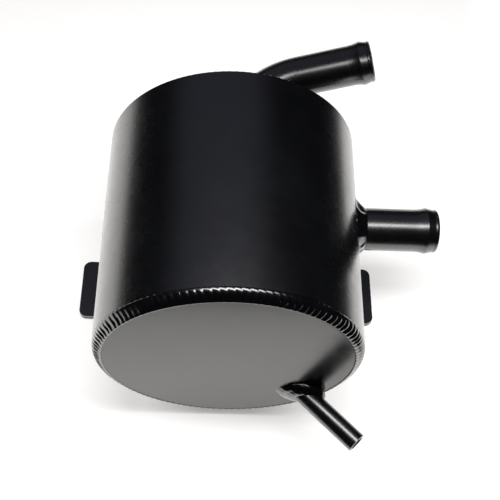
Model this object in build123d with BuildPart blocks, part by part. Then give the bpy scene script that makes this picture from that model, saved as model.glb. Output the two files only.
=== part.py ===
from build123d import *
import os
from math import cos, radians, sin, sqrt, tan

# Oil vapour tank in millimetres: a welded aluminium cylinder with a beaded hose tube on its side,
# a bent vent tube on top, a slanted drain tube underneath and a flat mounting bracket behind.
# The origin is the middle of the bracket's back face. +Y points out of that face, away from the
# tank, +Z is up along the tank's axis, and +X points out along the side tube.

# Tank body
tank_radius = 62.5
tank_height = 119.0
shell_wall = 2.5
cap_thickness = 3.0
cap_seat = 1.25
cap_land = 0.5
cap_clearance = 0.15

# Welds round the two rims
bottom_weld_rise = 2.0
bottom_weld_reach = 3.65
bottom_weld_crown = 1.5
top_weld_inset = 0.2
top_weld_reach = 2.0
top_weld_crown = 1.5

# Hose tubes on the side and on top
tube_radius = 10.65
tube_wall = 2.0
tube_inset = 3.0
tube_clearance = 0.15
tube_weld_leg = 4.3
lip_length = 2.0
lip_round = 0.9
lip_crown = 0.55
bead_place = 5.8
bead_height = 0.9
bead_round = 1.2
bead_foot = 12.0

# Side tube
side_level = 74.0
side_reach = 102.75

# Bent vent tube
vent_straight = 6.2
vent_bend_radius = 38.0
vent_bend = 87.0
vent_arm = 40.5
vent_heading = -17.3

# Slanted drain tube
drain_radius = 5.0
drain_wall = 1.3
drain_slant = 45.0
drain_length = 36.6
drain_inset = 13.55
drain_bearing = 41.8
drain_weld_leg = 3.8
drain_weld_heel = 5.8
drain_weld_depth = 4.2
drain_weld_toe = 0.4

# Mounting bracket
bracket_width = 160.0
bracket_height = 34.0
bracket_thickness = 3.0
bracket_corner = 4.0
bracket_level = 70.0
bracket_gap = 0.3
bolt_hole_radius = 3.3
bolt_spacing = 136.0
bracket_weld_root = 7.0
bracket_weld_toe = 15.0
bracket_weld_leg = 2.0
bracket_weld_margin = 3.0

# Baffle inside the tank
baffle_level = 98.0
baffle_thickness = 2.0
baffle_clearance = 0.3
baffle_hole_radius = 4.0
baffle_ring_pitch = 14.5
baffle_ring_count = 3
baffle_holes_per_ring = 6
tack_count = 4
tack_leg = 2.5
tack_width = 9.0

# Places worked out from the sizes above
tank_y = -(bracket_thickness + bracket_gap + tank_radius)
bottom_z = -bracket_level
top_z = bottom_z + tank_height
inner_radius = tank_radius - shell_wall
bottom_cap_radius = inner_radius + cap_seat
top_cap_radius = inner_radius - cap_clearance
side_z = bottom_z + side_level
baffle_z = bottom_z + baffle_level
tube_hole_radius = tube_radius + tube_clearance
bracket_face_y = -bracket_thickness
tank_axis = Axis((0, tank_y, 0), (0, 0, 1))
side_axis = Axis((0, tank_y, side_z), (1, 0, 0))


def hose_tube_section(length):
    """Half section of a beaded hose tube: x runs back from its free end, y is the radius."""
    bore = tube_radius - tube_wall
    lip_start = (0, tube_radius - lip_round)
    lip_end = (lip_length, tube_radius)
    crest = (bead_place, tube_radius + bead_height)
    foot = (bead_foot, tube_radius)
    with BuildSketch() as section:
        with BuildLine():
            SagittaArc(lip_start, lip_end, lip_crown)
            Line(lip_end, crest)
            TangentArc(foot, crest, tangent=(-1, 0))
            Polyline(foot, (length, tube_radius), (length, bore), (0, bore), lip_start)
        make_face()
        fillet(section.vertices().sort_by(Axis.Y)[-1], bead_round)
    return section.sketch


os.makedirs("parts", exist_ok=True)

# Tank shell: its lower end is bevelled for the weld, and the side tube passes through it
bottom_section_plane = Plane((0, tank_y, bottom_z), x_dir=(1, 0, 0), z_dir=(0, -1, 0))
shell_toe = (tank_radius, cap_thickness + bottom_weld_rise)
cap_toe = (bottom_cap_radius - bottom_weld_reach, 0)
with BuildPart() as tank_shell:
    with BuildSketch(bottom_section_plane):
        with BuildLine():
            Polyline(
                (inner_radius, cap_thickness),
                (bottom_cap_radius, cap_thickness),
                shell_toe,
                (tank_radius, tank_height),
                (inner_radius, tank_height),
                close=True,
            )
        make_face()
    revolve(axis=tank_axis)
    with BuildSketch(Plane((0, tank_y, side_z), z_dir=(1, 0, 0))):
        Circle(tube_hole_radius)
    extrude(amount=side_reach, mode=Mode.SUBTRACT)
tank_shell.part.label = "tank_shell"
export_step(tank_shell.part, "parts/tank_shell.step")

# Drain tube: its axis crosses the bottom face at drain_foot and leans out along +X
drain_offset = tank_radius - drain_inset
drain_foot = Vector(
    drain_offset * cos(radians(drain_bearing)),
    tank_y + drain_offset * sin(radians(drain_bearing)),
    bottom_z,
)
drain_direction = Vector(cos(radians(drain_slant)), 0, -sin(radians(drain_slant)))
drain_plane = Plane(drain_foot, z_dir=drain_direction)
drain_end_plane = Plane(drain_foot + drain_direction * drain_length, z_dir=-drain_direction)
drain_through = 2 * (cap_thickness + drain_radius) / sin(radians(drain_slant))
with BuildPart() as drain_tube:
    with BuildSketch(drain_end_plane):
        Circle(drain_radius)
        Circle(drain_radius - drain_wall, mode=Mode.SUBTRACT)
    extrude(amount=drain_length + drain_through)
    split(bisect_by=Plane((0, 0, bottom_z + cap_thickness)), keep=Keep.BOTTOM)
drain_tube.part.label = "drain_tube"
export_step(drain_tube.part, "parts/drain_tube.step")

# Bottom cap: a disc on the end of the shell, bevelled for the weld, with the drain tube's hole
cap_edge = (bottom_cap_radius, cap_thickness - cap_land)
with BuildPart() as bottom_cap:
    with BuildSketch(bottom_section_plane):
        with BuildLine():
            Polyline(
                (0, 0),
                cap_toe,
                cap_edge,
                (bottom_cap_radius, cap_thickness),
                (0, cap_thickness),
                close=True,
            )
        make_face()
    revolve(axis=tank_axis)
    with BuildSketch(drain_plane):
        Circle(drain_radius + tube_clearance)
    extrude(amount=drain_through, both=True, mode=Mode.SUBTRACT)
bottom_cap.part.label = "bottom_cap"
export_step(bottom_cap.part, "parts/bottom_cap.step")

# Top cap: a disc let into the shell's upper end, flush with it, with the hole for the vent tube
with BuildPart() as top_cap:
    with BuildSketch(Plane((0, tank_y, top_z - cap_thickness))):
        Circle(top_cap_radius)
        Circle(tube_hole_radius, mode=Mode.SUBTRACT)
    extrude(amount=cap_thickness)
top_cap.part.label = "top_cap"
export_step(top_cap.part, "parts/top_cap.step")

# Bottom rim weld: rounds the corner from the bottom cap's face up onto the shell
with BuildPart() as bottom_rim_weld:
    with BuildSketch(bottom_section_plane):
        with BuildLine():
            SagittaArc(cap_toe, shell_toe, -bottom_weld_crown)
            Polyline(
                shell_toe,
                (bottom_cap_radius, cap_thickness),
                cap_edge,
                cap_toe,
            )
        make_face()
    revolve(axis=tank_axis)
bottom_rim_weld.part.label = "bottom_rim_weld"
export_step(bottom_rim_weld.part, "parts/bottom_rim_weld.step")

# Top rim weld: a low bead over the joint between the shell's end and the top cap
top_section_plane = Plane((0, tank_y, top_z), x_dir=(1, 0, 0), z_dir=(0, -1, 0))
outer_toe = (tank_radius - top_weld_inset, 0)
inner_toe = (inner_radius - top_weld_reach, 0)
with BuildPart() as top_rim_weld:
    with BuildSketch(top_section_plane):
        with BuildLine():
            SagittaArc(inner_toe, outer_toe, top_weld_crown)
            Line(outer_toe, inner_toe)
        make_face()
    revolve(axis=tank_axis)
top_rim_weld.part.label = "top_rim_weld"
export_step(top_rim_weld.part, "parts/top_rim_weld.step")

# Side tube: passes through the shell and ends just inside it
side_length = side_reach - (inner_radius - tube_inset)
side_section = hose_tube_section(side_length)
with BuildPart() as side_tube:
    with BuildSketch(Plane((side_reach, tank_y, side_z), x_dir=(-1, 0, 0), z_dir=(0, 1, 0))):
        add(side_section)
    revolve(axis=side_axis)
side_tube.part.label = "side_tube"
export_step(side_tube.part, "parts/side_tube.step")

# Side tube weld: a cone round the tube, cut to the shell's curve
saddle_reach = tube_radius + 2 * tube_weld_leg
saddle_depth = tank_radius - sqrt(tank_radius**2 - saddle_reach**2)
side_weld_plane = Plane((0, tank_y, side_z), x_dir=(1, 0, 0), z_dir=(0, -1, 0))
with BuildPart() as side_tube_weld:
    with BuildSketch(side_weld_plane):
        with BuildLine():
            Polyline(
                (tank_radius + tube_weld_leg, tube_radius),
                (tank_radius - saddle_depth, tube_radius + tube_weld_leg + saddle_depth),
                (tank_radius - saddle_depth, tube_radius),
                close=True,
            )
        make_face()
    revolve(axis=side_axis)
    with BuildSketch(Plane((0, tank_y, bottom_z))):
        Circle(tank_radius)
    extrude(amount=tank_height, mode=Mode.SUBTRACT)
side_tube_weld.part.label = "side_tube_weld"
export_step(side_tube_weld.part, "parts/side_tube_weld.step")

# Vent tube: rises from the middle of the top cap, bends nearly level and ends in a beaded hose end
vent_up = Vector(0, 0, 1)
vent_level = Vector(cos(radians(vent_heading)), sin(radians(vent_heading)), 0)
vent_forward = vent_level * sin(radians(vent_bend)) + vent_up * cos(radians(vent_bend))
vent_outward = vent_up * sin(radians(vent_bend)) - vent_level * cos(radians(vent_bend))
vent_sideways = vent_level.cross(vent_up)
vent_bend_z = top_z + vent_straight
vent_bend_centre = Vector(0, tank_y, vent_bend_z) + vent_level * vent_bend_radius
vent_tip = vent_bend_centre + vent_outward * vent_bend_radius + vent_forward * vent_arm
vent_arm_section = hose_tube_section(vent_arm)
vent_foot_length = cap_thickness + tube_inset + vent_straight
with BuildPart() as vent_tube:
    with BuildSketch(Plane((0, tank_y, vent_bend_z))):
        Circle(tube_radius)
        Circle(tube_radius - tube_wall, mode=Mode.SUBTRACT)
    extrude(amount=-vent_foot_length)
    with BuildSketch(Plane((0, tank_y, vent_bend_z))):
        Circle(tube_radius)
        Circle(tube_radius - tube_wall, mode=Mode.SUBTRACT)
    revolve(axis=Axis(vent_bend_centre, -vent_sideways), revolution_arc=vent_bend)
    with BuildSketch(Plane(vent_tip, x_dir=-vent_forward, z_dir=vent_sideways)):
        add(vent_arm_section)
    revolve(axis=Axis(vent_tip, vent_forward))
vent_tube.part.label = "vent_tube"
export_step(vent_tube.part, "parts/vent_tube.step")

# Vent tube weld: a fillet bead between the top cap and the tube
with BuildPart() as vent_tube_weld:
    with BuildSketch(top_section_plane):
        with BuildLine():
            Polyline(
                (tube_radius, 0),
                (tube_radius + tube_weld_leg, 0),
                (tube_radius, tube_weld_leg),
                close=True,
            )
        make_face()
    revolve(axis=tank_axis)
vent_tube_weld.part.label = "vent_tube_weld"
export_step(vent_tube_weld.part, "parts/vent_tube_weld.step")

# Drain weld: from an oval on the bottom cap to the tube's own slanted section just below it
foot_half_length = drain_radius / sin(radians(drain_slant))
oval_half_length = foot_half_length + (drain_weld_leg + drain_weld_heel) / 2
oval_shift = (drain_weld_leg - drain_weld_heel) / 2
toe_shift = drain_weld_depth / tan(radians(drain_slant))
oval_plane = Plane(drain_foot + Vector(oval_shift, 0, 0))
toe_plane = Plane(drain_foot + Vector(toe_shift, 0, -drain_weld_depth))
with BuildPart() as drain_weld:
    with BuildSketch(oval_plane):
        Ellipse(oval_half_length, drain_radius + drain_weld_leg)
    with BuildSketch(toe_plane):
        Ellipse(foot_half_length + drain_weld_toe, drain_radius + drain_weld_toe)
    loft()
    with BuildSketch(drain_plane):
        Circle(drain_radius)
    extrude(amount=drain_length, both=True, mode=Mode.SUBTRACT)
    add(bottom_rim_weld.part, mode=Mode.SUBTRACT)
drain_weld.part.label = "drain_weld"
export_step(drain_weld.part, "parts/drain_weld.step")

# Mounting bracket: a flat strip across the back of the tank, with a bolt hole near each end
bracket_plane = Plane((0, 0, 0), x_dir=(1, 0, 0), z_dir=(0, -1, 0))
with BuildPart() as mounting_bracket:
    with BuildSketch(bracket_plane):
        RectangleRounded(bracket_width, bracket_height, bracket_corner)
        with GridLocations(bolt_spacing, 0, 2, 1):
            Circle(bolt_hole_radius, mode=Mode.SUBTRACT)
    extrude(amount=bracket_thickness)
mounting_bracket.part.label = "mounting_bracket"
export_step(mounting_bracket.part, "parts/mounting_bracket.step")

# Bracket welds: upright beads in the grooves where the round shell meets the flat bracket
weld_toe_y = tank_y + sqrt(tank_radius**2 - bracket_weld_toe**2)
bracket_weld_length = bracket_height - 2 * bracket_weld_margin
with BuildPart() as bracket_weld_right:
    with BuildSketch(Plane((0, 0, -bracket_weld_length / 2))):
        with BuildLine():
            Polyline(
                (bracket_weld_root, bracket_face_y),
                (bracket_weld_toe + bracket_weld_leg, bracket_face_y),
                (bracket_weld_toe, weld_toe_y),
                (bracket_weld_root, weld_toe_y),
                close=True,
            )
        make_face()
        with Locations((0, tank_y)):
            Circle(tank_radius, mode=Mode.SUBTRACT)
    extrude(amount=bracket_weld_length)
bracket_weld_right.part.label = "bracket_weld_right"
export_step(bracket_weld_right.part, "parts/bracket_weld_right.step")

with BuildPart() as bracket_weld_left:
    mirror(bracket_weld_right.part, about=Plane.YZ)
bracket_weld_left.part.label = "bracket_weld_left"
export_step(bracket_weld_left.part, "parts/bracket_weld_left.step")

# Baffle plate: a perforated disc between the side tube and the vent
with BuildPart() as baffle_plate:
    with BuildSketch(Plane((0, tank_y, baffle_z))):
        Circle(inner_radius - baffle_clearance)
        for ring in range(1, baffle_ring_count + 1):
            with PolarLocations(ring * baffle_ring_pitch, ring * baffle_holes_per_ring):
                Circle(baffle_hole_radius, mode=Mode.SUBTRACT)
    extrude(amount=baffle_thickness)
baffle_plate.part.label = "baffle_plate"
export_step(baffle_plate.part, "parts/baffle_plate.step")

# Baffle tack welds: short fillets between the baffle's upper face and the shell's inside
tack_plane = Plane((0, tank_y, baffle_z + baffle_thickness), x_dir=(1, 0, 0), z_dir=(0, -1, 0))
with BuildPart() as baffle_tacks:
    with BuildSketch(tack_plane):
        with BuildLine():
            Polyline(
                (inner_radius, 0),
                (inner_radius - baffle_clearance - tack_leg, 0),
                (inner_radius, tack_leg),
                close=True,
            )
        make_face()
    revolve(axis=tank_axis)
    with BuildSketch(Plane((0, tank_y, baffle_z))):
        with PolarLocations(inner_radius, tack_count, start_angle=180 / tack_count):
            Rectangle(4 * tack_leg, tack_width)
    extrude(amount=baffle_thickness + 2 * tack_leg, mode=Mode.INTERSECT)
baffle_tacks.part.label = "baffle_tacks"
export_step(baffle_tacks.part, "parts/baffle_tacks.step")
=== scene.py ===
import math

import bpy
import numpy as np
from bpy.props import FloatProperty, FloatVectorProperty, IntProperty, PointerProperty
from mathutils import Matrix, Vector


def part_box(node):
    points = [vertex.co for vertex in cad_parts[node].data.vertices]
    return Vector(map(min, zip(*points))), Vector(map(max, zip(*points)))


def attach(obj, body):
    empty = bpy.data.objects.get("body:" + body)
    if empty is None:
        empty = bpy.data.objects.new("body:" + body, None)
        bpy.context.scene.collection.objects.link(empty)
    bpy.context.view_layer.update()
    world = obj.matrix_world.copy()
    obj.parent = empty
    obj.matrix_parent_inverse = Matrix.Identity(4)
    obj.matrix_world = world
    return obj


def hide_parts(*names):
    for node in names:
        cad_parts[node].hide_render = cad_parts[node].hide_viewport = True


bl_info = {
    "name": "Oil Vapour Tank",
    "version": (1, 0, 0),
    "blender": (4, 5, 0),
    "location": "View3D > Sidebar > Vapour Tank",
    "description": "Dresses the oil vapour tank with its black coat and rippled weld beads",
    "category": "Object",
}

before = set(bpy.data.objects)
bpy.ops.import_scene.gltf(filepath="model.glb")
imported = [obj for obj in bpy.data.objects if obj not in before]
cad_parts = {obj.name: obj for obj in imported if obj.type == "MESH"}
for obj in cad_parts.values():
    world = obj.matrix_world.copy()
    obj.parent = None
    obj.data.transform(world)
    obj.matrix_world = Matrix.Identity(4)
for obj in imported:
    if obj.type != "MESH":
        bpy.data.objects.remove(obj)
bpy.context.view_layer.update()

# Places read from the loaded part, in metres
shell_low, shell_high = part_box("tank_shell")
cap_low, cap_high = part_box("bottom_cap")
bracket_low, bracket_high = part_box("mounting_bracket")
side_low, side_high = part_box("side_tube")
tank_x = (shell_low.x + shell_high.x) / 2
tank_y = (shell_low.y + shell_high.y) / 2
tank_radius = (shell_high.x - shell_low.x) / 2
bottom_z = cap_low.z
top_z = shell_high.z
side_y = (side_low.y + side_high.y) / 2
side_z = (side_low.z + side_high.z) / 2

# Stations along one ripple of a small bead
SMALL_BEAD_SAMPLES = 12


class CoatSettings(bpy.types.PropertyGroup):
    """Colours and finish of the tank's surfaces."""

    coat_colour: FloatVectorProperty(
        name="Coat colour",
        description="Colour of the black coat",
        subtype="COLOR",
        size=3,
        min=0.0,
        max=1.0,
        default=(0.0013, 0.0014, 0.0017),
    )
    coat_thin_colour: FloatVectorProperty(
        name="Thin coat colour",
        description="Colour that the black coat drifts to where it is thinner",
        subtype="COLOR",
        size=3,
        min=0.0,
        max=1.0,
        default=(0.0026, 0.0028, 0.0034),
    )
    coat_roughness_low: FloatProperty(
        name="Coat roughness, smoothest",
        description="Roughness of the coat where it has flowed out best",
        subtype="FACTOR",
        min=0.0,
        max=1.0,
        default=0.255,
    )
    coat_roughness_high: FloatProperty(
        name="Coat roughness, dullest",
        description="Roughness of the coat where it is dullest",
        subtype="FACTOR",
        min=0.0,
        max=1.0,
        default=0.285,
    )
    peel_size: FloatProperty(
        name="Orange peel size",
        description="Width of one ripple of the coat's orange peel",
        unit="LENGTH",
        min=0.0002,
        default=0.0011,
    )
    coat_index: FloatProperty(
        name="Coat refractive index",
        description="How strongly the coat mirrors what is round it",
        min=1.0,
        default=1.75,
    )
    aluminium_colour: FloatVectorProperty(
        name="Bare aluminium",
        description="Colour of the uncoated baffle inside the tank",
        subtype="COLOR",
        size=3,
        min=0.0,
        max=1.0,
        default=(0.70, 0.71, 0.72),
    )


class BeadSettings(bpy.types.PropertyGroup):
    """Sizes of the weld beads and of their ripples."""

    rim_ripples: IntProperty(
        name="Rim ripples",
        description="Ripples in the bead round each rim of the tank",
        min=12,
        default=120,
    )
    rim_depth: FloatProperty(
        name="Rim ripple depth",
        description="Height of the step from one ripple of a rim bead to the next",
        unit="LENGTH",
        min=0.0,
        default=0.00045,
    )
    rim_bow: FloatProperty(
        name="Rim ripple bow",
        description="How far a rim ripple's middle runs ahead of its ends, in ripples",
        min=0.0,
        default=0.55,
    )
    tube_ripples: IntProperty(
        name="Tube ripples",
        description="Ripples in the bead round the foot of a hose tube",
        min=6,
        default=13,
    )
    tube_depth: FloatProperty(
        name="Tube ripple depth",
        description="Height of the step from one ripple of a tube's bead to the next",
        unit="LENGTH",
        min=0.0,
        default=0.0006,
    )
    drain_ripples: IntProperty(
        name="Drain ripples",
        description="Ripples in the bead round the drain tube's foot",
        min=6,
        default=20,
    )
    drain_depth: FloatProperty(
        name="Drain ripple depth",
        description="Height of the step from one ripple of the drain's bead to the next",
        unit="LENGTH",
        min=0.0,
        default=0.0005,
    )
    bracket_ripples: IntProperty(
        name="Bracket ripples",
        description="Ripples in each bead that holds the bracket",
        min=3,
        default=13,
    )
    leg: FloatProperty(
        name="Tube bead leg",
        description="Leg length of the fillet bead round a hose tube",
        unit="LENGTH",
        min=0.001,
        default=0.0043,
    )
    tube_radius: FloatProperty(
        name="Hose tube radius",
        description="Outside radius of the hose tubes where their beads sit",
        unit="LENGTH",
        min=0.002,
        default=0.01065,
    )


class StageSettings(bpy.types.PropertyGroup):
    """Sizes and levels of the pale sheet, the room's light and the camera."""

    sheet_left: FloatProperty(
        name="Sheet left", description="Left edge of the pale sheet", unit="LENGTH", default=-0.39
    )
    sheet_right: FloatProperty(
        name="Sheet right", description="Right edge of the pale sheet", unit="LENGTH", default=0.22
    )
    sheet_near: FloatProperty(
        name="Sheet near",
        description="Edge of the pale sheet below the tank",
        unit="LENGTH",
        default=-0.135,
    )
    sheet_far: FloatProperty(
        name="Sheet far",
        description="Edge of the pale sheet above the tank",
        unit="LENGTH",
        default=0.62,
    )
    sheet_colour: FloatVectorProperty(
        name="Sheet colour",
        description="Colour of the pale sheet that the tank lies on",
        subtype="COLOR",
        size=3,
        min=0.0,
        max=1.0,
        default=(0.88, 0.88, 0.88),
    )
    sheet_seen: FloatProperty(
        name="Sheet lift, seen",
        description="Glow of the sheet that the camera sees round the tank; its edges are white",
        min=0.0,
        default=0.32,
    )
    sheet_mirrored: FloatProperty(
        name="Sheet lift, mirrored",
        description="Glow that lifts the sheet to white where the coat mirrors it",
        min=0.0,
        default=1.0,
    )
    room_dark: FloatProperty(
        name="Room level",
        description="Brightness of the dim room that the coat mirrors on the side away from the sheet",
        min=0.0,
        default=0.006,
    )
    room_pale: FloatProperty(
        name="Wall level",
        description="Brightness of the surroundings on the sheet's side",
        min=0.0,
        default=0.8,
    )
    window_level: FloatProperty(
        name="Window level",
        description="Brightness of the soft bluish window that the tank's front mirrors",
        min=0.0,
        default=0.20,
    )
    window_direction: FloatVectorProperty(
        name="Window direction",
        description="Direction from the tank to the soft bluish window",
        subtype="DIRECTION",
        size=3,
        default=(-0.18, -0.80, 0.574),
    )
    camera_place: FloatVectorProperty(
        name="Camera place",
        description="Where the photograph was taken from",
        subtype="TRANSLATION",
        unit="LENGTH",
        size=3,
        default=(-0.00846, -0.4560, -0.24493),
    )
    camera_yaw: FloatProperty(
        name="Camera yaw",
        description="Turn of the camera about the tank's axis",
        subtype="ANGLE",
        default=math.radians(-2.65),
    )
    camera_pitch: FloatProperty(
        name="Camera pitch",
        description="How far the camera looks up along the tank",
        subtype="ANGLE",
        default=math.radians(31.01),
    )
    camera_roll: FloatProperty(
        name="Camera roll",
        description="Turn of the camera about its own line of sight",
        subtype="ANGLE",
        default=0.0053,
    )
    camera_lens: FloatProperty(
        name="Lens",
        description="Focal length in millimetres on a 36 mm sensor",
        min=1.0,
        default=66.93,
    )


def coat_settings():
    """The scene's colours and finish."""
    return bpy.context.scene.vapour_tank_coat


def bead_settings():
    """The scene's bead sizes."""
    return bpy.context.scene.vapour_tank_beads


def stage_settings():
    """The scene's sheet, room and camera settings."""
    return bpy.context.scene.vapour_tank_stage


def new_material(name):
    """An empty node material, with its node tree and its output node."""
    material = bpy.data.materials.new(name)
    material.use_nodes = True
    tree = material.node_tree
    tree.nodes.clear()
    output = tree.nodes.new("ShaderNodeOutputMaterial")
    return material, tree, output


def noise_node(tree, coordinates, size, detail):
    """Noise whose features are about size metres across."""
    noise = tree.nodes.new("ShaderNodeTexNoise")
    noise.inputs["Scale"].default_value = 1.0 / size
    noise.inputs["Detail"].default_value = detail
    tree.links.new(coordinates, noise.inputs["Vector"])
    return noise


def mapped(tree, value, low, high):
    """A noise value spread over the range from low to high."""
    usual_low, usual_high = 0.3, 0.7
    node = tree.nodes.new("ShaderNodeMapRange")
    node.inputs["From Min"].default_value = usual_low
    node.inputs["From Max"].default_value = usual_high
    node.inputs["To Min"].default_value = low
    node.inputs["To Max"].default_value = high
    tree.links.new(value, node.inputs["Value"])
    return node.outputs["Result"]


def drifting_colour(tree, value, first, second):
    """A colour that drifts from first to second with a noise value."""
    drift_start, drift_end = 0.35, 0.68
    ramp = tree.nodes.new("ShaderNodeValToRGB")
    ramp.color_ramp.elements[0].position = drift_start
    ramp.color_ramp.elements[0].color = (*first, 1.0)
    ramp.color_ramp.elements[1].position = drift_end
    ramp.color_ramp.elements[1].color = (*second, 1.0)
    tree.links.new(value, ramp.inputs["Fac"])
    return ramp.outputs["Color"]


def black_coat(name, roughness_shift, peel_strength, index_shift=0.0):
    """Semi-gloss black coat with orange peel, a drifting gloss and a drifting depth of colour."""
    existing = bpy.data.materials.get(name)
    if existing:
        return existing
    coat = coat_settings()
    material, tree, output = new_material(name)
    shader = tree.nodes.new("ShaderNodeBsdfPrincipled")
    tree.links.new(shader.outputs["BSDF"], output.inputs["Surface"])
    drift_size, flow_size, peel_height = 0.028, 0.009, 0.00006
    place = tree.nodes.new("ShaderNodeTexCoord").outputs["Object"]
    drift = noise_node(tree, place, drift_size, detail=3.0)
    flow = noise_node(tree, place, flow_size, detail=4.0)
    peel = noise_node(tree, place, coat.peel_size, detail=2.0)
    tree.links.new(
        drifting_colour(tree, drift.outputs["Fac"], coat.coat_colour, coat.coat_thin_colour),
        shader.inputs["Base Color"],
    )
    tree.links.new(
        mapped(
            tree,
            flow.outputs["Fac"],
            coat.coat_roughness_low + roughness_shift,
            coat.coat_roughness_high + roughness_shift,
        ),
        shader.inputs["Roughness"],
    )
    bump = tree.nodes.new("ShaderNodeBump")
    bump.inputs["Strength"].default_value = peel_strength
    bump.inputs["Distance"].default_value = peel_height
    tree.links.new(peel.outputs["Fac"], bump.inputs["Height"])
    tree.links.new(bump.outputs["Normal"], shader.inputs["Normal"])
    shader.inputs["IOR"].default_value = coat.coat_index + index_shift
    return material


def bare_aluminium():
    """Plain sheet aluminium with fine rolling lines."""
    existing = bpy.data.materials.get("bare_sheet_aluminium")
    if existing:
        return existing
    coat = coat_settings()
    material, tree, output = new_material("bare_sheet_aluminium")
    shader = tree.nodes.new("ShaderNodeBsdfPrincipled")
    tree.links.new(shader.outputs["BSDF"], output.inputs["Surface"])
    line_size, cloud_size, line_height = 0.0006, 0.012, 0.00003
    line_stretch, line_strength, pale_gain = (0.04, 1.0, 1.0), 0.15, 1.12
    roughness_low, roughness_high = 0.3, 0.45
    place = tree.nodes.new("ShaderNodeTexCoord").outputs["Object"]
    stretch = tree.nodes.new("ShaderNodeMapping")
    stretch.inputs["Scale"].default_value = line_stretch
    tree.links.new(place, stretch.inputs["Vector"])
    lines = noise_node(tree, stretch.outputs["Vector"], line_size, detail=3.0)
    cloud = noise_node(tree, place, cloud_size, detail=3.0)
    paler = tuple(min(1.0, c * pale_gain) for c in coat.aluminium_colour)
    tree.links.new(
        drifting_colour(tree, cloud.outputs["Fac"], coat.aluminium_colour, paler),
        shader.inputs["Base Color"],
    )
    tree.links.new(
        mapped(tree, lines.outputs["Fac"], roughness_low, roughness_high), shader.inputs["Roughness"]
    )
    bump = tree.nodes.new("ShaderNodeBump")
    bump.inputs["Strength"].default_value = line_strength
    bump.inputs["Distance"].default_value = line_height
    tree.links.new(lines.outputs["Fac"], bump.inputs["Height"])
    tree.links.new(bump.outputs["Normal"], shader.inputs["Normal"])
    shader.inputs["Metallic"].default_value = 1.0
    return material


def dress(node_name, material):
    """Gives a CAD node its finished material."""
    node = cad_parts[node_name]
    node.data.materials.clear()
    node.data.materials.append(material)


def skin(name, rows, ring):
    """A closed mesh over sections: rows[station, point] in metres, each section a closed loop."""
    stations, points, _ = rows.shape
    count = stations if ring else stations - 1
    faces = []
    for i in range(count):
        a = i * points
        b = ((i + 1) % stations) * points
        for j in range(points):
            k = (j + 1) % points
            faces.append((a + j, b + j, b + k, a + k))
    if not ring:
        faces.append(tuple(range(points)))
        faces.append(tuple(range((stations - 1) * points, stations * points))[::-1])
    mesh = bpy.data.meshes.new(name)
    mesh.from_pydata(rows.reshape(-1, 3).tolist(), [], faces)
    mesh.validate()
    mesh.shade_smooth()
    piece = bpy.data.objects.new(name, mesh)
    bpy.context.scene.collection.objects.link(piece)
    return piece


def place_bead(piece, node_name):
    """Puts a finished bead in its CAD node's place on the tank."""
    piece.data.materials.append(black_coat("weld_bead_coat", roughness_shift=-0.07, peel_strength=0.15))
    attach(piece, "root")
    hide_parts(node_name)


def smooth(u):
    """A climb from 0 to 1 that starts and ends gently."""
    return u * u * (3.0 - 2.0 * u)


def ripple_drop(phase):
    """Depth of a bead's surface below its crests, from 0 to 1: a slow rise, then a short steep step."""
    u = phase % 1.0
    crest, sharpness = 0.70, 1.4
    rise = (1.0 - np.clip(u / crest, 0.0, 1.0)) ** sharpness
    fall = np.clip((u - crest) / (1.0 - crest), 0.0, 1.0)
    return np.where(u < crest, rise, smooth(fall))


def hand_drift(count, stations, spread, seed, ring):
    """A slow random value at each station, as an uneven hand gives: count values, joined smoothly."""
    values = np.random.default_rng(seed).uniform(-spread, spread, count)
    values = np.append(values, values[0] if ring else values[-1])
    at = np.linspace(0.0, count, stations, endpoint=not ring)
    i = np.minimum(at.astype(int), count - 1)
    u = smooth(at - i)
    return values[i] * (1.0 - u) + values[i + 1] * u


def ripples(count, samples, across, bow, seed, ring=True):
    """Depth field of a bead, from 0 at the crests to about 1 in the steps: one row for each station."""
    pitch_drift, depth_drift = 0.12, 0.2
    stations = count * samples + (0 if ring else 1)
    at = np.linspace(0.0, count, stations, endpoint=not ring)
    at = at + hand_drift(count, stations, pitch_drift, seed, ring)
    t = np.linspace(0.0, 1.0, across)
    phase = at[:, None] - bow * (1.0 - (2.0 * t[None, :] - 1.0) ** 2)
    strength = 1.0 + hand_drift(count, stations, depth_drift, seed + 1, ring)
    return ripple_drop(phase) * strength[:, None]


def toe_fade(across, first, last, least):
    """Weight of the ripples over a bead's width: full in the middle, least at its two toes."""
    t = np.linspace(0.0, 1.0, across)
    edge = np.clip(np.minimum(t / first, (1.0 - t) / last), 0.0, 1.0)
    return least + (1.0 - least) * smooth(edge)


def ring_rows(section, centre):
    """Turns sections in (radius, height), one for each station, into points round an upright axis."""
    stations = section.shape[0]
    angle = np.linspace(0.0, 2.0 * math.pi, stations, endpoint=False)[:, None]
    r, z = section[..., 0], section[..., 1]
    x, y = centre.x + r * np.cos(angle), centre.y + r * np.sin(angle)
    return np.stack([x, y, centre.z + z], axis=-1)


def arc_section(start, end, crown, across):
    """Points and outward normals of an arc from start to end, bulging to the right of that way."""
    a, b = np.array(start), np.array(end)
    chord = b - a
    length = np.linalg.norm(chord)
    side = np.array([chord[1], -chord[0]]) / length
    radius = (length * length / 4.0 + crown * crown) / (2.0 * crown)
    centre = (a + b) / 2.0 + side * (crown - radius)
    first = math.atan2(*(a - centre)[::-1])
    last = math.atan2(*(b - centre)[::-1])
    turn = (last - first + math.pi) % (2.0 * math.pi) - math.pi
    angle = first + turn * np.linspace(0.0, 1.0, across)
    normal = np.stack([np.cos(angle), np.sin(angle)], axis=-1)
    return centre + radius * normal, normal


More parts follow.
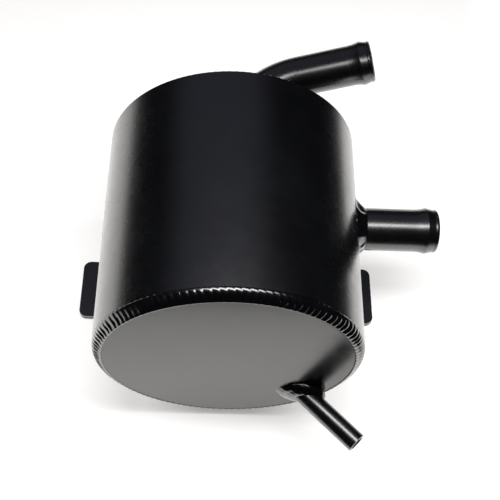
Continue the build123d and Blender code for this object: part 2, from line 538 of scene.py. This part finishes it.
class VAPOURTANK_OT_coated_pieces(bpy.types.Operator):
    """Give the shell, caps, tubes and bracket their black coat."""

    bl_idname = "vapour_tank.coated_pieces"
    bl_label = "Coated Pieces"

    def execute(self, context):
        coat = black_coat("semi_gloss_black_coat", roughness_shift=0.0, peel_strength=0.02)
        for node_name in ("tank_shell", "side_tube", "vent_tube", "drain_tube", "mounting_bracket"):
            dress(node_name, coat)
        cap_coat = black_coat(
            "flat_cap_black_coat", roughness_shift=-0.08, peel_strength=0.03, index_shift=-0.37
        )
        for node_name in ("bottom_cap", "top_cap"):
            dress(node_name, cap_coat)
        return {"FINISHED"}


class VAPOURTANK_OT_baffle(bpy.types.Operator):
    """Give the baffle inside the tank and its tack welds their bare aluminium."""

    bl_idname = "vapour_tank.baffle"
    bl_label = "Baffle"

    def execute(self, context):
        for node_name in ("baffle_plate", "baffle_tacks"):
            dress(node_name, bare_aluminium())
        return {"FINISHED"}


class VAPOURTANK_OT_rim_beads(bpy.types.Operator):
    """Build the rippled beads round the tank's lower and upper rims."""

    bl_idname = "vapour_tank.rim_beads"
    bl_label = "Rim Beads"

    def execute(self, context):
        beads = bead_settings()
        self.bottom(beads)
        self.top(beads)
        return {"FINISHED"}

    def bottom(self, beads):
        """The lower rim's bead, from a proud lip on the cap to the shell's side."""
        across, samples = 15, 16
        width, height, crown = 0.0049, 0.005, 0.001495
        lip, lip_place, lip_width = 0.00034, 0.12, 0.07
        root_radius, root_top, root_bottom = tank_radius - 0.00125, 0.003, 0.0025
        arc, normal = arc_section((tank_radius - width, 0.0), (tank_radius, height), crown, across)
        t = np.linspace(0.0, 1.0, across)
        proud = lip * np.exp(-(((t - lip_place) / lip_width) ** 2))
        drop = ripples(beads.rim_ripples, samples, across, beads.rim_bow, seed=11)
        drop = drop * beads.rim_depth * toe_fade(across, first=0.35, last=0.60, least=0.08)
        surface = arc[None] + normal[None] * (proud - drop)[..., None]
        under = np.array([(root_radius, root_top), (root_radius, root_bottom)])
        under = np.broadcast_to(under, (surface.shape[0], 2, 2))
        section = np.concatenate([surface, under], axis=1)
        rows = ring_rows(section, Vector((tank_x, tank_y, bottom_z)))
        place_bead(skin("bottom_rim_bead", rows, True), "bottom_rim_weld")

    def top(self, beads):
        """The upper rim's low bead over the seam of the shell and the top cap."""
        across, samples = 11, 14
        inner_toe = (tank_radius - 0.0045, 0.0)
        outer_toe = (tank_radius - 0.0002, 0.0)
        crown = 0.0015
        arc, normal = arc_section(outer_toe, inner_toe, crown, across)
        drop = ripples(beads.rim_ripples, samples, across, beads.rim_bow, seed=23)
        drop = drop * beads.rim_depth * toe_fade(across, first=0.25, last=0.25, least=0.3)
        surface = arc[None] - normal[None] * drop[..., None]
        rows = ring_rows(surface, Vector((tank_x, tank_y, top_z)))
        place_bead(skin("top_rim_bead", rows, True), "top_rim_weld")


class VAPOURTANK_OT_tube_beads(bpy.types.Operator):
    """Build the rippled beads round the feet of the side tube and the vent tube."""

    bl_idname = "vapour_tank.tube_beads"
    bl_label = "Tube Beads"

    def execute(self, context):
        beads = bead_settings()
        self.side(beads)
        self.vent(beads)
        return {"FINISHED"}

    def saddle_toe(self, beads, angle):
        """Radius at which the bead's 45 degree face meets the round shell, at each angle."""
        reach = np.full_like(angle, beads.tube_radius + beads.leg)
        rounds = 40
        for _ in range(rounds):
            shell_x = np.sqrt(tank_radius**2 - (reach * np.cos(angle)) ** 2)
            reach = beads.tube_radius + beads.leg + tank_radius - shell_x
        return reach

    def lumpy(self, beads, toe, foot, corner, seed):
        """Sections in (along, out) of a swollen fillet from its toe to its foot on the tube."""
        across, bulge, bow = 13, 0.0007, 0.35
        t = np.linspace(0.0, 1.0, across)[None, :, None]
        line = toe[:, None] * (1.0 - t) + foot[:, None] * t
        face = foot - toe
        out = np.stack([-face[:, 1], face[:, 0]], axis=-1)
        out = -out / np.linalg.norm(out, axis=1)[:, None]
        swell = bulge * 4.0 * t * (1.0 - t)
        drop = ripples(beads.tube_ripples, SMALL_BEAD_SAMPLES, across, bow, seed)
        drop = drop * beads.tube_depth * toe_fade(across, first=0.35, last=0.35, least=0.15)
        surface = line + out[:, None] * (swell - drop[..., None])
        return np.concatenate([surface, corner[:, None]], axis=1)

    def side(self, beads):
        """The bead in the saddle between the side tube and the round shell."""
        sink = 0.0001
        stations = beads.tube_ripples * SMALL_BEAD_SAMPLES
        angle = np.linspace(0.0, 2.0 * math.pi, stations, endpoint=False)
        reach = self.saddle_toe(beads, angle)
        shell_x = np.sqrt(tank_radius**2 - (reach * np.cos(angle)) ** 2)
        tube = np.full_like(angle, beads.tube_radius)
        toe = np.stack([shell_x - sink, reach], axis=-1)
        foot = np.stack([np.full_like(angle, tank_radius + beads.leg), tube], axis=-1)
        corner = np.stack([np.sqrt(tank_radius**2 - (tube * np.cos(angle)) ** 2) - sink, tube], axis=-1)
        section = self.lumpy(beads, toe, foot, corner, seed=31)
        x, r = section[..., 0], section[..., 1]
        turn = angle[:, None]
        rows = np.stack([tank_x + x, side_y + r * np.cos(turn), side_z + r * np.sin(turn)], axis=-1)
        place_bead(skin("side_tube_bead", rows, True), "side_tube_weld")

    def vent(self, beads):
        """The bead on the top cap round the vent tube's foot."""
        stations = beads.tube_ripples * SMALL_BEAD_SAMPLES
        one = np.ones(stations)
        toe = np.stack([0.0 * one, (beads.tube_radius + beads.leg) * one], axis=-1)
        foot = np.stack([beads.leg * one, beads.tube_radius * one], axis=-1)
        corner = np.stack([0.0 * one, beads.tube_radius * one], axis=-1)
        section = self.lumpy(beads, toe, foot, corner, seed=41)
        rows = ring_rows(section[..., ::-1], Vector((tank_x, tank_y, top_z)))
        place_bead(skin("vent_tube_bead", rows, True), "vent_tube_weld")


class VAPOURTANK_OT_drain_bead(bpy.types.Operator):
    """Build the broad oval bead round the drain tube's foot."""

    bl_idname = "vapour_tank.drain_bead"
    bl_label = "Drain Bead"

    foot_offset: FloatVectorProperty(
        name="Foot",
        description="Where the drain's axis crosses the bottom cap, from the tank's axis",
        subtype="TRANSLATION",
        unit="LENGTH",
        size=2,
        default=(0.03649, 0.03263),
    )
    tube_radius: FloatProperty(
        name="Drain radius",
        description="Outside radius of the drain tube",
        unit="LENGTH",
        default=0.005,
    )
    depth: FloatProperty(
        name="Bead depth",
        description="How far the bead climbs along the tube, measured from the cap",
        unit="LENGTH",
        default=0.0042,
    )

    def execute(self, context):
        beads = bead_settings()
        across, bulge, bow = 17, 0.0009, 0.4
        heel_steps, round_share = 2.0, 0.15
        toe_back, toe_length, toe_width = 0.001, 0.0048, 0.0038
        seat, grip = 0.0002, 0.0001
        stations = beads.drain_ripples * SMALL_BEAD_SAMPLES
        angle = np.linspace(0.0, 2.0 * math.pi, stations, endpoint=False)
        foot_x = tank_x + self.foot_offset[0]
        foot_y = tank_y + self.foot_offset[1]
        half_length = self.tube_radius * math.sqrt(2.0)
        toe = np.stack(
            [
                foot_x - toe_back + (half_length + toe_length) * np.cos(angle),
                foot_y + (self.tube_radius + toe_width) * np.sin(angle),
                np.full_like(angle, bottom_z + seat),
            ],
            axis=-1,
        )
        foot = np.stack(
            [
                foot_x + self.depth + (half_length - grip) * np.cos(angle),
                foot_y + (self.tube_radius - grip) * np.sin(angle),
                np.full_like(angle, bottom_z - self.depth),
            ],
            axis=-1,
        )
        t = np.linspace(0.0, 1.0, across)
        line = toe[:, None] * (1.0 - t[None, :, None]) + foot[:, None] * t[None, :, None]
        face = foot - toe
        along = np.roll(toe, -1, axis=0) - np.roll(toe, 1, axis=0)
        out = np.cross(face, along)
        out = out / np.linalg.norm(out, axis=1)[:, None]
        if out[:, 2].mean() > 0.0:
            out = -out
        swell = bulge * 4.0 * t * (1.0 - t)
        heel = np.clip(-np.cos(angle), 0.0, 1.0)[:, None] ** 2
        stepped = ripple_drop(np.broadcast_to(heel_steps * t, (stations, across)))
        round_it = ripples(beads.drain_ripples, SMALL_BEAD_SAMPLES, across, bow, seed=53)
        drop = heel * stepped + round_share * round_it
        drop = drop * beads.drain_depth * toe_fade(across, first=0.2, last=0.2, least=0.35)
        surface = line + out[:, None] * (swell[None] - drop)[..., None]
        inner = foot.copy()
        inner[:, 0] -= self.depth + seat
        inner[:, 2] = bottom_z + seat
        rows = np.concatenate([surface, inner[:, None]], axis=1)
        place_bead(skin("drain_bead", rows, True), "drain_weld")
        return {"FINISHED"}


class VAPOURTANK_OT_bracket_beads(bpy.types.Operator):
    """Build the rippled beads in the two grooves between the shell and the bracket."""

    bl_idname = "vapour_tank.bracket_beads"
    bl_label = "Bracket Beads"

    length: FloatProperty(
        name="Length",
        description="Length of each bead",
        unit="LENGTH",
        default=0.028,
    )
    root: FloatProperty(
        name="Root",
        description="Distance of the bead's root from the tank's middle plane",
        unit="LENGTH",
        default=0.007,
    )
    toe: FloatProperty(
        name="Toe",
        description="Distance of the bead's toe on the shell from the tank's middle plane",
        unit="LENGTH",
        default=0.015,
    )

    def execute(self, context):
        self.bead("bracket_bead_right", "bracket_weld_right", side=1.0, seed=61)
        self.bead("bracket_bead_left", "bracket_weld_left", side=-1.0, seed=71)
        return {"FINISHED"}

    def bead(self, name, node_name, side, seed):
        """One straight bead that tapers at its ends, on the side that 1 or -1 names."""
        beads = bead_settings()
        across, crown, bow = 11, 0.0005, 0.5
        foot_spread, end_run, end_share = 0.002, 0.0025, 0.45
        face_y = bracket_low.y
        on_shell = (self.toe, tank_y + math.sqrt(tank_radius**2 - self.toe**2))
        on_bracket = (self.toe + foot_spread, face_y)
        root_shell = (self.root, tank_y + math.sqrt(tank_radius**2 - self.root**2))
        arc, normal = arc_section(on_shell, on_bracket, crown, across)
        if normal[across // 2, 0] < 0.0:
            arc, normal = arc_section(on_bracket, on_shell, crown, across)
            arc, normal = arc[::-1], normal[::-1]
        drop = ripples(beads.bracket_ripples, SMALL_BEAD_SAMPLES, across, bow, seed, ring=False)
        drop = drop * beads.rim_depth * toe_fade(across, first=0.25, last=0.25, least=0.35)
        stations = drop.shape[0]
        height = np.linspace(-0.5, 0.5, stations) * self.length
        run = np.clip((self.length / 2.0 - np.abs(height)) / end_run, 0.0, 1.0)
        full = end_share + (1.0 - end_share) * np.sqrt(1.0 - (1.0 - run) ** 2)
        surface = arc[None] - normal[None] * drop[..., None]
        root = np.array([(self.root, face_y), root_shell])
        middle = root.mean(axis=0)
        surface = middle + (surface - middle) * full[:, None, None]
        section = np.concatenate([surface, np.broadcast_to(root, (stations, 2, 2))], axis=1)
        x, y = section[..., 0], section[..., 1]
        z = np.broadcast_to(height[:, None], x.shape)
        rows = np.stack([tank_x + side * x, y, z], axis=-1)
        place_bead(skin(name, rows, False), node_name)


class VAPOURTANK_OT_stage(bpy.types.Operator):
    """Set up the pale sheet, the soft lamps, the dim room and the camera."""

    bl_idname = "vapour_tank.stage"
    bl_label = "Stage"

    def execute(self, context):
        stage = stage_settings()
        self.sheet(stage)
        self.room(stage)
        self.lamps()
        self.camera(stage)
        context.scene.view_settings.view_transform = "Standard"
        return {"FINISHED"}

    def sheet(self, stage):
        """The pale sheet that the bracket lies on, as a grid that knows how near its edges it is."""
        columns, rows, gap = 62, 76, 0.0004
        left_fade, right_fade, near_fade, far_fade = 0.20, 0.07, 0.05, 0.42
        x, z = np.meshgrid(
            np.linspace(stage.sheet_left, stage.sheet_right, columns),
            np.linspace(stage.sheet_near, stage.sheet_far, rows),
        )
        back = np.full_like(x, bracket_high.y + gap)
        faces = []
        for i in range(rows - 1):
            for j in range(columns - 1):
                a = i * columns + j
                faces.append((a, a + 1, a + 1 + columns, a + columns))
        mesh = bpy.data.meshes.new("pale_sheet")
        mesh.from_pydata(np.stack([x, back, z], axis=-1).reshape(-1, 3).tolist(), [], faces)
        inside = np.minimum.reduce(
            [
                (x - stage.sheet_left) / left_fade,
                (stage.sheet_right - x) / right_fade,
                (z - stage.sheet_near) / near_fade,
                (stage.sheet_far - z) / far_fade,
            ]
        )
        edge = smooth(1.0 - np.clip(inside, 0.0, 1.0))
        mesh.attributes.new("edge", "FLOAT", "POINT").data.foreach_set("value", edge.ravel())
        sheet = bpy.data.objects.new("pale_sheet", mesh)
        bpy.context.scene.collection.objects.link(sheet)
        mesh.materials.append(self.sheet_material(stage))

    def sheet_material(self, stage):
        """Matt white, lifted where seen or mirrored; rays from behind or very near pass through."""
        warm_white = (1.0, 0.965, 0.92, 1.0)
        open_distance = 0.002
        material, tree, output = new_material("pale_sheet")
        matt = tree.nodes.new("ShaderNodeBsdfDiffuse")
        matt.inputs["Color"].default_value = (*stage.sheet_colour, 1.0)
        glow = tree.nodes.new("ShaderNodeEmission")
        glow.inputs["Color"].default_value = warm_white
        path = tree.nodes.new("ShaderNodeLightPath")
        edge = tree.nodes.new("ShaderNodeAttribute")
        edge.attribute_name = "edge"
        level = self.ramp(tree, edge.outputs["Fac"], 0.0, 1.0, stage.sheet_seen, 1.0)
        seen = tree.nodes.new("ShaderNodeMath")
        seen.operation = "MULTIPLY"
        tree.links.new(path.outputs["Is Camera Ray"], seen.inputs[0])
        tree.links.new(level, seen.inputs[1])
        mirrored = self.scaled(tree, path.outputs["Is Glossy Ray"], stage.sheet_mirrored)
        lift = tree.nodes.new("ShaderNodeMath")
        lift.operation = "ADD"
        tree.links.new(seen.outputs["Value"], lift.inputs[0])
        tree.links.new(mirrored, lift.inputs[1])
        tree.links.new(lift.outputs["Value"], glow.inputs["Strength"])
        pale = tree.nodes.new("ShaderNodeAddShader")
        tree.links.new(matt.outputs["BSDF"], pale.inputs[0])
        tree.links.new(glow.outputs["Emission"], pale.inputs[1])
        clear = tree.nodes.new("ShaderNodeBsdfTransparent")
        near = tree.nodes.new("ShaderNodeMath")
        near.operation = "LESS_THAN"
        near.inputs[1].default_value = open_distance
        tree.links.new(path.outputs["Ray Length"], near.inputs[0])
        behind = tree.nodes.new("ShaderNodeMath")
        behind.operation = "MAXIMUM"
        tree.links.new(tree.nodes.new("ShaderNodeNewGeometry").outputs["Backfacing"], behind.inputs[0])
        tree.links.new(near.outputs["Value"], behind.inputs[1])
        mix = tree.nodes.new("ShaderNodeMixShader")
        tree.links.new(behind.outputs["Value"], mix.inputs["Fac"])
        tree.links.new(pale.outputs["Shader"], mix.inputs[1])
        tree.links.new(clear.outputs["BSDF"], mix.inputs[2])
        tree.links.new(mix.outputs["Shader"], output.inputs["Surface"])
        return material

    def scaled(self, tree, value, factor):
        """A value times a fixed factor."""
        node = tree.nodes.new("ShaderNodeMath")
        node.operation = "MULTIPLY"
        node.inputs[1].default_value = factor
        tree.links.new(value, node.inputs[0])
        return node.outputs["Value"]

    def room(self, stage):
        """A dim room in front of the sheet, pale behind it, and white to the camera."""
        wall_start, wall_full = 0.6, 0.9
        window_start, window_full = 0.75, 0.95
        plain_white, window_blue = (1.0, 1.0, 1.0, 1.0), (0.74, 0.76, 1.0, 1.0)
        world = bpy.data.worlds.new("room")
        bpy.context.scene.world = world
        world.use_nodes = True
        tree = world.node_tree
        tree.nodes.clear()
        output = tree.nodes.new("ShaderNodeOutputWorld")
        direction = tree.nodes.new("ShaderNodeTexCoord").outputs["Generated"]
        split = tree.nodes.new("ShaderNodeSeparateXYZ")
        tree.links.new(direction, split.inputs["Vector"])
        wall = self.ramp(
            tree, split.outputs["Y"], wall_start, wall_full, stage.room_dark, stage.room_pale
        )
        toward = tree.nodes.new("ShaderNodeVectorMath")
        toward.operation = "DOT_PRODUCT"
        toward.inputs[1].default_value = stage.window_direction
        tree.links.new(direction, toward.inputs[0])
        glow = self.ramp(
            tree, toward.outputs["Value"], window_start, window_full, 0.0, stage.window_level
        )
        surroundings = tree.nodes.new("ShaderNodeAddShader")
        for slot, (level, colour) in enumerate(((wall, plain_white), (glow, window_blue))):
            light = tree.nodes.new("ShaderNodeBackground")
            light.inputs["Color"].default_value = colour
            tree.links.new(level, light.inputs["Strength"])
            tree.links.new(light.outputs["Background"], surroundings.inputs[slot])
        white = tree.nodes.new("ShaderNodeBackground")
        white.inputs["Color"].default_value = plain_white
        path = tree.nodes.new("ShaderNodeLightPath")
        mix = tree.nodes.new("ShaderNodeMixShader")
        tree.links.new(path.outputs["Is Camera Ray"], mix.inputs["Fac"])
        tree.links.new(surroundings.outputs["Shader"], mix.inputs[1])
        tree.links.new(white.outputs["Background"], mix.inputs[2])
        tree.links.new(mix.outputs["Shader"], output.inputs["Surface"])

    def ramp(self, tree, value, start, stop, low, high):
        """A level that climbs smoothly from low to high as the value goes from start to stop."""
        node = tree.nodes.new("ShaderNodeMapRange")
        node.interpolation_type = "SMOOTHSTEP"
        node.inputs["From Min"].default_value = start
        node.inputs["From Max"].default_value = stop
        node.inputs["To Min"].default_value = low
        node.inputs["To Max"].default_value = high
        tree.links.new(value, node.inputs["Value"])
        return node.outputs["Result"]

    def lamps(self):
        """A long lamp above the lying tank, and broad fills that only soften its shadow."""
        self.lamp(
            "overhead_lamp", place=(0.03, -0.43, -0.055), target=(0.03, 0.0, -0.055),
            width=0.36, height=0.08, power=0.34, mirrored=True,
        )
        self.lamp(
            "left_fill", place=(-0.65, -0.75, -0.02), target=(-0.22, 0.0, 0.0),
            width=0.6, height=0.5, power=4.6, mirrored=False,
        )
        self.lamp(
            "right_fill", place=(0.60, -0.75, -0.02), target=(0.15, 0.0, 0.0),
            width=0.6, height=0.5, power=4.6, mirrored=False,
        )

    def lamp(self, name, place, target, width, height, power, mirrored):
        """A soft rectangular lamp turned to a target; one that the coat mirrors shines less widely."""
        forward_spread = math.radians(85.0)
        light = bpy.data.lights.new(name, "AREA")
        light.shape = "RECTANGLE"
        light.size = width
        light.size_y = height
        light.energy = power
        if mirrored:
            light.spread = forward_spread
        lamp = bpy.data.objects.new(name, light)
        bpy.context.scene.collection.objects.link(lamp)
        lamp.location = place
        lamp.rotation_mode = "QUATERNION"
        lamp.rotation_quaternion = (Vector(target) - Vector(place)).to_track_quat("-Z", "Y")
        lamp.visible_glossy = mirrored
        lamp.visible_camera = False

    def camera(self, stage):
        """The camera in the place that the photograph was taken from."""
        sensor_width, nearest = 36.0, 0.01
        data = bpy.data.cameras.new("photo_camera")
        data.lens = stage.camera_lens
        data.sensor_width = sensor_width
        data.clip_start = nearest
        camera = bpy.data.objects.new("photo_camera", data)
        bpy.context.scene.collection.objects.link(camera)
        turn = Matrix.Rotation(stage.camera_yaw, 4, "Z")
        tilt = Matrix.Rotation(math.pi / 2.0 + stage.camera_pitch, 4, "X")
        roll = Matrix.Rotation(stage.camera_roll, 4, "Z")
        camera.matrix_world = Matrix.Translation(stage.camera_place) @ turn @ tilt @ roll
        bpy.context.scene.camera = camera


OPERATORS = (
    VAPOURTANK_OT_coated_pieces,
    VAPOURTANK_OT_baffle,
    VAPOURTANK_OT_rim_beads,
    VAPOURTANK_OT_tube_beads,
    VAPOURTANK_OT_drain_bead,
    VAPOURTANK_OT_bracket_beads,
    VAPOURTANK_OT_stage,
)


class VAPOURTANK_PT_panel(bpy.types.Panel):
    """Sidebar panel with the tank's settings and the steps that build it."""

    bl_idname = "VAPOURTANK_PT_panel"
    bl_label = "Vapour Tank"
    bl_space_type = "VIEW_3D"
    bl_region_type = "UI"
    bl_category = "Vapour Tank"

    def draw(self, context):
        layout = self.layout
        scene = context.scene
        for settings in (scene.vapour_tank_coat, scene.vapour_tank_beads, scene.vapour_tank_stage):
            box = layout.box()
            for name in settings.__annotations__:
                box.prop(settings, name)
        for operator in OPERATORS:
            layout.operator(operator.bl_idname)


CLASSES = (CoatSettings, BeadSettings, StageSettings, *OPERATORS, VAPOURTANK_PT_panel)


def register():
    """Adds the settings, the steps and the panel to Blender."""
    for cls in CLASSES:
        bpy.utils.register_class(cls)
    bpy.types.Scene.vapour_tank_coat = PointerProperty(type=CoatSettings)
    bpy.types.Scene.vapour_tank_beads = PointerProperty(type=BeadSettings)
    bpy.types.Scene.vapour_tank_stage = PointerProperty(type=StageSettings)


def unregister():
    """Takes them out again, last one first."""
    del bpy.types.Scene.vapour_tank_stage
    del bpy.types.Scene.vapour_tank_beads
    del bpy.types.Scene.vapour_tank_coat
    for cls in reversed(CLASSES):
        bpy.utils.unregister_class(cls)


def main():
    """Builds the whole tank."""
    register()
    bpy.ops.vapour_tank.coated_pieces()
    bpy.ops.vapour_tank.baffle()
    bpy.ops.vapour_tank.rim_beads()
    bpy.ops.vapour_tank.tube_beads()
    bpy.ops.vapour_tank.drain_bead()
    bpy.ops.vapour_tank.bracket_beads()
    bpy.ops.vapour_tank.stage()


if __name__ == "__main__":
    main()
